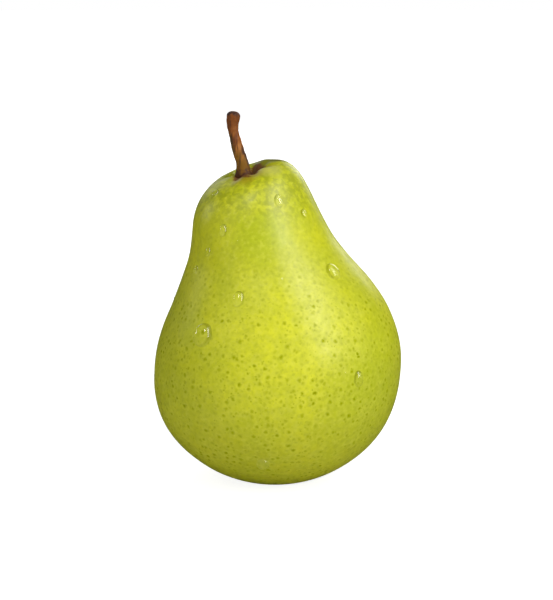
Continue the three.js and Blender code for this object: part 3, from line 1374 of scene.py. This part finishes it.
def end_growth(graph: Graph, given: Node, geometry: Socket) -> Tree:
    """Close a geometry tree: make its copies real, shade them smooth and give them their material.

    Args:
        graph: The tree's graph.
        given: Its input node.
        geometry: What the tree has made.

    Returns:
        The finished tree.
    """
    real = graph.made("GeometryNodeRealizeInstances", {0: geometry})
    smooth = graph.made("GeometryNodeSetShadeSmooth", {"Geometry": real})
    finished = {"Geometry": smooth, "Material": given.outputs["Finish"]}
    dressed = graph.made("GeometryNodeSetMaterial", finished)
    graph.add("NodeGroupOutput", {0: dressed})
    return graph.tree


def grow(name: str, tree: Tree, values: dict) -> Piece:
    """Run a geometry tree and keep what it makes as a plain mesh.

    Args:
        name: The new piece's name.
        tree: The tree to run.
        values: A value for each of its inputs, by name.

    Returns:
        The piece, with no modifier left on it.
    """
    piece = new_piece(name, np.zeros((0, 3)), [])
    modifier = piece.modifiers.new(name, "NODES")
    modifier.node_group = tree
    for item in tree.interface.items_tree:
        if item.in_out == "INPUT":
            modifier[item.identifier] = values[item.name]
    seen = piece.evaluated_get(bpy.context.evaluated_depsgraph_get())
    made = bpy.data.meshes.new_from_object(seen)
    piece.modifiers.clear()
    piece.data = made
    return piece


def make_stamens() -> Tree:
    """A tuft of dried threads with a bead at the end of each, hanging from a small disc.

    Returns:
        A tree that takes the tuft's Centre and Spread, and the threads' Count, Length, Radius and Seed.
    """
    takes = {Kind.VECTOR: "Centre", Kind.NUMBER: "Spread Length Radius", Kind.WHOLE: "Count Seed"}
    graph, given = new_growth("stamens", takes)
    sockets = given.outputs
    reach_out, knee_share, anther_share = 0.3, 0.6, 2.2
    leans, sizes = (-0.35, 0.2), (0.65, 1.1)
    turn = graph.chance(0.0, 2 * math.pi, sockets["Seed"], 1)
    evenly_out = graph.maths("SQRT", graph.chance(0.0, 1.0, sockets["Seed"], 2))
    out = graph.times(evenly_out, sockets["Spread"])
    x = graph.times(out, graph.maths("COSINE", turn))
    y = graph.times(out, graph.maths("SINE", turn))
    off = graph.joined(x, y)
    place = graph.vector("ADD", off, sockets["Centre"])
    points = graph.made("GeometryNodePoints", {"Count": sockets["Count"], "Position": place})
    down = graph.times(sockets["Length"], -1.0)
    end = graph.joined(x=graph.times(sockets["Length"], reach_out), z=down)
    knee = graph.joined(z=graph.times(down, knee_share))
    bend = {"Resolution": 7, "Start": (0, 0, 0), "Middle": knee, "End": end}
    line = graph.made("GeometryNodeCurveQuadraticBezier", bend)
    circle = graph.made("GeometryNodeCurvePrimitiveCircle", {"Resolution": 6, "Radius": sockets["Radius"]})
    thread = {"Curve": line, "Profile Curve": circle, "Fill Caps": True}
    tube = graph.made("GeometryNodeCurveToMesh", thread)
    ball = graph.times(sockets["Radius"], anther_share)
    anther = graph.made("GeometryNodeMeshIcoSphere", {"Radius": ball, "Subdivisions": 2})
    moved = graph.made("GeometryNodeTransform", {"Geometry": anther, "Translation": end})
    joined = graph.add("GeometryNodeJoinGeometry")
    graph.tree.links.new(tube, joined.inputs[0])
    graph.tree.links.new(moved, joined.inputs[0])
    lean = graph.joined(y=graph.chance(*leans, sockets["Seed"], 3), z=turn)
    size = graph.chance(*sizes, sockets["Seed"], 4)
    copies = {"Points": points, "Instance": joined.outputs[0], "Rotation": lean, "Scale": size}
    tuft = graph.made("GeometryNodeInstanceOnPoints", copies)
    return end_growth(graph, given, tuft)


def make_bead() -> Tree:
    """One bead of water: a dome that follows the skin under it and sags down the slope.

    Returns:
        A tree that takes the Skin, the bead's Foot and the Outward direction there, its Width, Length
        and Rise, how far it sags (Sag), how deep its foot is sunk (Sink), and a Seed for its outline.
    """
    takes = {
        Kind.OBJECT: "Skin",
        Kind.VECTOR: "Foot Outward",
        Kind.NUMBER: "Width Length Rise Sag Sink Seed",
    }
    graph, given = new_growth("water_bead", takes)
    sockets = given.outputs
    outward = sockets["Outward"]
    fullness, lip_slope = 0.85, 8.0
    wobbly: Ramp = (0.25, 0.75, 0.97, 1.04)
    uphill_shade: Ramp = (-0.9, 0.4, 0.4, 1.0)
    low_shade: Ramp = (0.66, 0.4)
    on_top: Ramp = (-0.35, 0.05)
    ball = graph.made("GeometryNodeMeshUVSphere", {"Segments": 56, "Rings": 30, "Radius": 1.0})
    x, y, z = graph.split(graph.made("GeometryNodeInputPosition"))
    dome = graph.maths("MAXIMUM", z, 0.0)
    full = graph.maths("POWER", dome, fullness)
    cup = graph.maths("MINIMUM", graph.times(z, lip_slope), 0.0)
    sunk = graph.times(graph.maths("MAXIMUM", cup, -1.0), sockets["Sink"])
    height = graph.times_plus(full, sockets["Rise"], sunk)
    shifted = graph.joined(x, y, sockets["Seed"])
    uneven = graph.step(graph.noise(shifted, 0.9, detail=0.0), *wobbly)
    half_width = graph.times(sockets["Width"], 0.5, uneven)
    half_length = graph.times(sockets["Length"], 0.5, uneven)
    slumped = graph.times_plus(graph.times(dome, dome), graph.times(sockets["Sag"], -1.0), y)
    sideways = graph.vector("CROSS_PRODUCT", (0, 0, 1), outward)
    level = graph.vector("NORMALIZE", sideways)
    uphill = graph.vector("CROSS_PRODUCT", outward, level)
    across = graph.scaled(level, graph.times(x, half_width))
    along = graph.scaled(uphill, graph.times(slumped, half_length))
    flat = graph.vector("ADD", graph.vector("ADD", across, along), sockets["Foot"])
    above = graph.vector("ADD", flat, graph.scaled(outward, sockets["Width"]))
    skin = graph.add("GeometryNodeObjectInfo", {"Object": sockets["Skin"]}).outputs["Geometry"]
    inward = graph.scaled(outward, -1.0)
    ray = {"Target Geometry": skin, "Source Position": above, "Ray Direction": inward, "Ray Length": 1.0}
    hit = graph.add("GeometryNodeRaycast", ray).outputs["Hit Position"]
    place = graph.vector("ADD", hit, graph.scaled(outward, height))
    # mark where the water gets painted shade: the foot of the bead, uphill, on beads that face up
    faces_up = graph.step(graph.split(outward)[2], *on_top)
    rim = graph.times(graph.step(y, *uphill_shade), graph.step(z, *low_shade), faces_up)
    marked = {"Geometry": ball, "Name": RIM_SHADE, "Value": rim}
    ball = graph.made("GeometryNodeStoreNamedAttribute", marked, data_type="FLOAT", domain="POINT")
    bead = graph.made("GeometryNodeSetPosition", {"Geometry": ball, "Position": place})
    return end_growth(graph, given, bead)


def make_droplets() -> Tree:
    """Fine droplets scattered over the skin, clear of the beads and of the stem's hollow.

    Returns:
        A tree that takes the Skin, the Beads, the Spacing, Density, Lowest and Highest place, the
        Smallest and Largest radius, the Flatness and the Seed.
    """
    takes = {
        Kind.OBJECT: "Skin",
        Kind.COLLECTION: "Beads",
        Kind.NUMBER: "Spacing Density Lowest Highest Smallest Largest Flatness",
        Kind.WHOLE: "Seed",
    }
    graph, given = new_growth("fine_droplets", takes)
    sockets = given.outputs
    skin = graph.add("GeometryNodeObjectInfo", {"Object": sockets["Skin"]}).outputs["Geometry"]
    beads = graph.made("GeometryNodeCollectionInfo", {"Collection": sockets["Beads"]})
    solid = graph.made("GeometryNodeRealizeInstances", {0: beads})
    gap = graph.add("GeometryNodeProximity", {0: solid}).outputs["Distance"]
    clear = graph.maths("GREATER_THAN", gap, sockets["Largest"])
    height = graph.split(graph.made("GeometryNodeInputPosition"))[2]
    over = graph.maths("GREATER_THAN", height, sockets["Lowest"])
    under = graph.maths("LESS_THAN", height, sockets["Highest"])
    allowed = graph.times(over, under, clear)
    choice = {
        "Mesh": skin,
        "Selection": allowed,
        "Distance Min": sockets["Spacing"],
        "Density Max": sockets["Density"],
        "Seed": sockets["Seed"],
    }
    scatter = graph.add("GeometryNodeDistributePointsOnFaces", choice, distribute_method="POISSON").outputs
    ball = graph.made("GeometryNodeMeshUVSphere", {"Segments": 20, "Rings": 12, "Radius": 1.0})
    stretches = (0.9, 1.35)
    radius = graph.chance(sockets["Smallest"], sockets["Largest"], sockets["Seed"], 1)
    squat = graph.times(radius, sockets["Flatness"])
    longer = graph.times(radius, graph.chance(*stretches, sockets["Seed"], 2))
    size = graph.joined(radius, longer, squat)
    copies = {"Points": scatter["Points"], "Instance": ball, "Rotation": scatter["Rotation"], "Scale": size}
    spray = graph.made("GeometryNodeInstanceOnPoints", copies)
    return end_growth(graph, given, spray)


# ---- water


def let_light_through(water: Piece) -> None:
    """Let the light of the lamps and of the floor reach the skin that water covers."""
    water.visible_shadow = False
    water.visible_diffuse = False


@dataclass(frozen=True)
class WaterFinish:
    """Clear water with a faint ripple in its surface, and painted shade round the foot of a bead, most of all
    uphill.
    """

    tint: Colour = (0.97, 0.97, 0.90, 1)
    # painted shade: the dark arc round the uphill foot of a bead
    rim: Colour = (0.38, 0.40, 0.13, 1)
    ior: float = 1.333
    coat: float = 0.7
    ripple_waves: float = 0.5
    roughness: float = 0.02
    relief_strength: float = 0.2
    relief_depth: float = 0.1

    def material(self) -> Material:
        """Build the material.

        Returns:
            The finished material.
        """
        clear = {"Transmission Weight": 1.0, "IOR": self.ior, "Coat Weight": self.coat}
        paint = Paint("clear_water", clear)
        # painted shade round the foot of a bead, where the rim attribute marks it
        rim = paint.add("ShaderNodeAttribute", attribute_name=RIM_SHADE).outputs["Fac"]
        paint.give("Base Color", paint.mix(rim, self.tint, self.rim))
        ripples = paint.cloud(self.ripple_waves, detail=1.0)
        paint.give("Roughness", paint.times(ripples, self.roughness))
        paint.bump(self.relief_strength, self.relief_depth, ripples)
        return paint.material


@dataclass
class Water:
    """Beads of water on the skin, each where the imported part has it, and fine droplets between."""

    prefix: str = "water_drop_"
    sag: float = 0.18
    sink: float = 0.05
    spacing: float = 8.0
    density: float = 900.0
    lowest: float = 30.0
    highest: float = 92.0
    smallest: float = 0.3
    largest: float = 0.7
    flatness: float = 0.5
    seed: int = 4

    def beads(self, skin: Piece, finish: Material) -> list[Piece]:
        """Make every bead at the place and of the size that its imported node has.

        Args:
            skin: The finished skin.
            finish: The water's material.

        Returns:
            The beads, in the order of their nodes.
        """
        tree = make_bead()
        mesh = skin.data
        ground = BVHTree.FromPolygons([v.co for v in mesh.vertices], [p.vertices for p in mesh.polygons])
        made = []
        for name in sorted(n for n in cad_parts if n.startswith(self.prefix)):
            corners = np.array([v.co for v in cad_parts[name].data.vertices])
            foot, outward, _, _ = ground.find_nearest(Vector(corners.mean(0)))
            level = Vector((0, 0, 1)).cross(outward).normalized()
            uphill = outward.cross(level)
            width, length, rise = (float(np.ptp(corners @ np.array(d))) for d in (level, uphill, outward))
            number = name.removeprefix(self.prefix)
            bead = grow(f"water_bead_{number}", tree, {
                "Skin": skin,
                "Foot": foot,
                "Outward": outward,
                "Width": width,
                "Length": length,
                "Rise": rise,
                "Sag": self.sag,
                "Sink": self.sink * MM,
                "Seed": float(number),
                "Finish": finish,
            })
            let_light_through(bead)
            hand_over(bead, [name], finish)
            made.append(bead)
        return made

    def droplets(self, skin: Piece, beads: list[Piece], finish: Material) -> None:
        """Scatter the fine droplets.

        Args:
            skin: The finished skin.
            beads: The beads that they keep clear of.
            finish: The water's material.
        """
        group = bpy.data.collections.new("water_beads")
        for bead in beads:
            group.objects.link(bead)
        droplets = grow("fine_droplets", make_droplets(), {
            "Skin": skin,
            "Beads": group,
            "Spacing": self.spacing * MM,
            "Density": self.density,
            "Lowest": self.lowest * MM,
            "Highest": self.highest * MM,
            "Smallest": self.smallest * MM,
            "Largest": self.largest * MM,
            "Flatness": self.flatness,
            "Seed": self.seed,
            "Finish": finish,
        })
        bpy.data.collections.remove(group)
        let_light_through(droplets)
        hand_over(droplets, [], finish)


# ---- studio


class Duty(Enum):
    """What a lamp is for: whether it lights dull surfaces, and whether glossy ones mirror it."""

    BOTH = (True, True)
    LIGHT = (True, False)
    SHINE = (False, True)


@dataclass(frozen=True)
class Lamp:
    """A soft lamp: degrees right of the camera and above the floor, millimetres, and watts."""

    name: str
    azimuth: float
    elevation: float
    distance: float
    size: tuple[float, float]
    power: float
    duty: Duty = Duty.BOTH


@dataclass
class Studio:
    """A plain white sweep, soft light from the right and the front, and the camera.

    Lengths are in millimetres, except that the floor's glow is told by metres from its middle.
    """

    aim: Point = (0.0, 0.0, 57.35)
    distance: float = 530.0
    elevation: float = 12.0
    lens: float = 100.0
    lamps: tuple[Lamp, ...] = (
        Lamp("key", 46, 33, 700, (300, 620), 3.1),
        Lamp("high", 64, 62, 700, (350, 350), 1.2),
        Lamp("glint", -26, 57, 700, (140, 140), 0.75, Duty.SHINE),
        Lamp("shoulder", 82, 44, 700, (250, 250), 0.3, Duty.SHINE),
        Lamp("left_sheen", -109, 23, 700, (150, 150), 0.3, Duty.SHINE),
        Lamp("fill", -5, 3, 1000, (900, 900), 3.75, Duty.LIGHT),
        Lamp("left", -58, 34, 700, (300, 600), 1.15, Duty.LIGHT),
        Lamp("left_edge", -157, 24, 700, (300, 350), 0.25),
        Lamp("right_edge", 158, 20, 700, (300, 300), 0.8),
        Lamp("sheen", 80, 16, 700, (300, 300), 0.35, Duty.SHINE),
        Lamp("back", 180, 12, 1000, (1200, 1000), 6.0, Duty.LIGHT),
    )
    ambient: float = 0.04
    sky_in_water: float = 0.5
    floor_in_water: float = 0.5
    floor_radius: float = 4000.0
    floor_sides: int = 96
    floor_seen: float = 0.5
    floor_glow: Ramp = (0.15, 0.6, 0.86, 1.0)
    floor_bounce: float = 0.8
    floor_mirrored: float = 0.03

    def direction(self, azimuth: float, elevation: float) -> Vector:
        """The way from the aim to a place round it."""
        a, e = math.radians(azimuth), math.radians(elevation)
        return Vector((math.sin(a) * math.cos(e), -math.cos(a) * math.cos(e), math.sin(e)))

    def place(self, thing: Piece, azimuth: float, elevation: float, distance: float) -> None:
        """Stand a lamp or the camera round the fruit and turn it to the aim.

        Args:
            thing: The lamp or the camera.
            azimuth: Degrees to the right of the camera.
            elevation: Degrees above the floor.
            distance: From the aim, in millimetres.
        """
        back = self.direction(azimuth, elevation)
        thing.location = (Vector(self.aim) + back * distance) * MM
        thing.rotation_mode = "QUATERNION"
        thing.rotation_quaternion = (-back).to_track_quat("-Z", "Y")
        bpy.context.scene.collection.objects.link(thing)

    def camera(self) -> None:
        """Make the camera."""
        lens = bpy.data.cameras.new("camera")
        lens.lens = self.lens
        camera = bpy.data.objects.new("camera", lens)
        self.place(camera, 0.0, self.elevation, self.distance)
        bpy.context.scene.camera = camera

    def softbox(self, lamp: Lamp) -> None:
        """Make one soft lamp, which the camera never sees.

        Args:
            lamp: Where it stands and what it does.
        """
        light = bpy.data.lights.new(lamp.name, "AREA")
        light.shape = "RECTANGLE"
        light.size, light.size_y = (side * MM for side in lamp.size)
        light.energy = lamp.power
        box = bpy.data.objects.new(lamp.name, light)
        box.visible_camera = False
        box.visible_diffuse, box.visible_glossy = lamp.duty.value
        self.place(box, lamp.azimuth, lamp.elevation, lamp.distance)

    def floor(self) -> None:
        """Make the floor: white to the eye, but with a dull bounce that leaves the fruit's underside deep."""
        bearing = turns(self.floor_sides)
        rim = np.column_stack([np.cos(bearing), np.sin(bearing), 0 * bearing]) * self.floor_radius
        floor = new_piece("floor", rim, [tuple(range(self.floor_sides))], smooth=False)
        material = bpy.data.materials.new("white_sweep")
        material.use_nodes = True
        graph = Graph(material.node_tree)
        seen = graph.made("ShaderNodeBsdfDiffuse", {"Color": grey(self.floor_seen)})
        away = graph.length(graph.add("ShaderNodeTexCoord").outputs["Object"])
        glow = graph.made("ShaderNodeEmission", {"Strength": graph.step(away, *self.floor_glow)})
        lit = graph.made("ShaderNodeAddShader", {0: seen, 1: glow})
        path = graph.add("ShaderNodeLightPath").outputs
        bounce = graph.mix(path["Is Glossy Ray"], grey(self.floor_bounce), grey(self.floor_mirrored))
        dull = graph.made("ShaderNodeBsdfDiffuse", {"Color": bounce})
        through_water = graph.times(path["Is Transmission Ray"], self.floor_in_water)
        shown = graph.maths("MAXIMUM", path["Is Camera Ray"], through_water)
        both = graph.made("ShaderNodeMixShader", {0: shown, 1: dull, 2: lit})
        graph.add("ShaderNodeOutputMaterial", {"Surface": both})
        floor.data.materials.append(material)

    def sky(self) -> None:
        """White behind the fruit, an even dim light round it, and grey where it shows through water."""
        world = bpy.data.worlds.new("studio")
        world.use_nodes = True
        graph = Graph(world.node_tree)
        path = graph.add("ShaderNodeLightPath").outputs
        in_water = graph.times(path["Is Transmission Ray"], self.sky_in_water)
        around = graph.maths("MAXIMUM", in_water, self.ambient)
        dim = graph.made("ShaderNodeBackground", {"Color": grey(1.0), "Strength": around})
        white = graph.made("ShaderNodeBackground", {"Color": grey(1.0), "Strength": 1.0})
        both = graph.made("ShaderNodeMixShader", {0: path["Is Camera Ray"], 1: dim, 2: white})
        graph.add("ShaderNodeOutputWorld", {"Surface": both})
        bpy.context.scene.world = world

    def build(self) -> None:
        """Make the floor, the light and the camera."""
        self.camera()
        self.floor()
        self.sky()
        for lamp in self.lamps:
            self.softbox(lamp)
        bpy.context.scene.view_settings.view_transform = "Standard"


# ---- the pear


def main() -> None:
    """Build every part of the pear in order, and the studio round it."""
    logging.basicConfig(level=logging.INFO, format="%(name)s: %(message)s")
    skin = Fruit().build(SkinFinish().material())
    Stem().build(BarkFinish().material())
    Calyx().build(DriedFinish().material())
    wet = WaterFinish().material()
    water = Water()
    water.droplets(skin, water.beads(skin, wet), wet)
    Studio().build()


if __name__ == "__main__":
    main()
